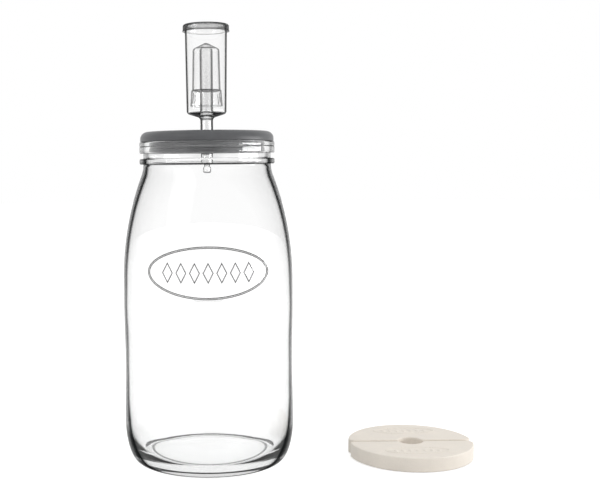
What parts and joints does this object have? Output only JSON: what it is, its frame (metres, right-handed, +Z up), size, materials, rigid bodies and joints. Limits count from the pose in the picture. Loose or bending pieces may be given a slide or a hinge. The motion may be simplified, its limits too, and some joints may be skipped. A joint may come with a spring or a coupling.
{
  "type": "fermentation jar with airlock",
  "caption": "Tall clear glass jar with a push-in silicone lid that carries a clear airlock with float and vented cap, and a split ceramic weight lying beside it.",
  "frame": {"origin": "centre of the flat ring under the jar, on the surface it stands on", "axes": "+Z up the axis of jar and airlock, -Y towards the front with the raised oval, +X towards the pair of weights"},
  "size_m": [0.2972, 0.1442, 0.368],
  "materials": {
    "jar_glass": "clear moulded glass",
    "grey_silicone": "satin moulded silicone",
    "clear_plastic": "clear moulded plastic",
    "white_ceramic": "off-white matt glazed ceramic"
  },
  "bodies": {
    "jar": {"glass_jar": "jar_glass"},
    "lid": {"silicone_lid": "grey_silicone"},
    "airlock": {"airlock_body": "clear_plastic"},
    "float": {"airlock_float": "clear_plastic"},
    "cap": {"airlock_cap": "clear_plastic"},
    "rear_weight": {"weight_rear": "white_ceramic"},
    "front_weight": {"weight_front": "white_ceramic"}
  },
  "joints": [
    {"name": "lid_lift", "type": "slide", "parent": "jar", "child": "lid", "axis": [0, 0, 1], "range_m": [0, 0.06]},
    {"name": "airlock_pull", "type": "slide", "parent": "lid", "child": "airlock", "axis": [0, 0, 1], "range_m": [0, 0.045]},
    {"name": "float_rise", "type": "slide", "parent": "airlock", "child": "float", "axis": [0, 0, 1], "range_m": [0, 0.013]},
    {"name": "cap_lift", "type": "slide", "parent": "airlock", "child": "cap", "axis": [0, 0, 1], "range_m": [0, 0.03]},
    {"name": "rear_weight_lift", "type": "slide", "parent": "jar", "child": "rear_weight", "axis": [0, 0, 1], "range_m": [0, 0.1]},
    {"name": "front_weight_lift", "type": "slide", "parent": "jar", "child": "front_weight", "axis": [0, 0, 1], "range_m": [0, 0.1]}
  ]
}
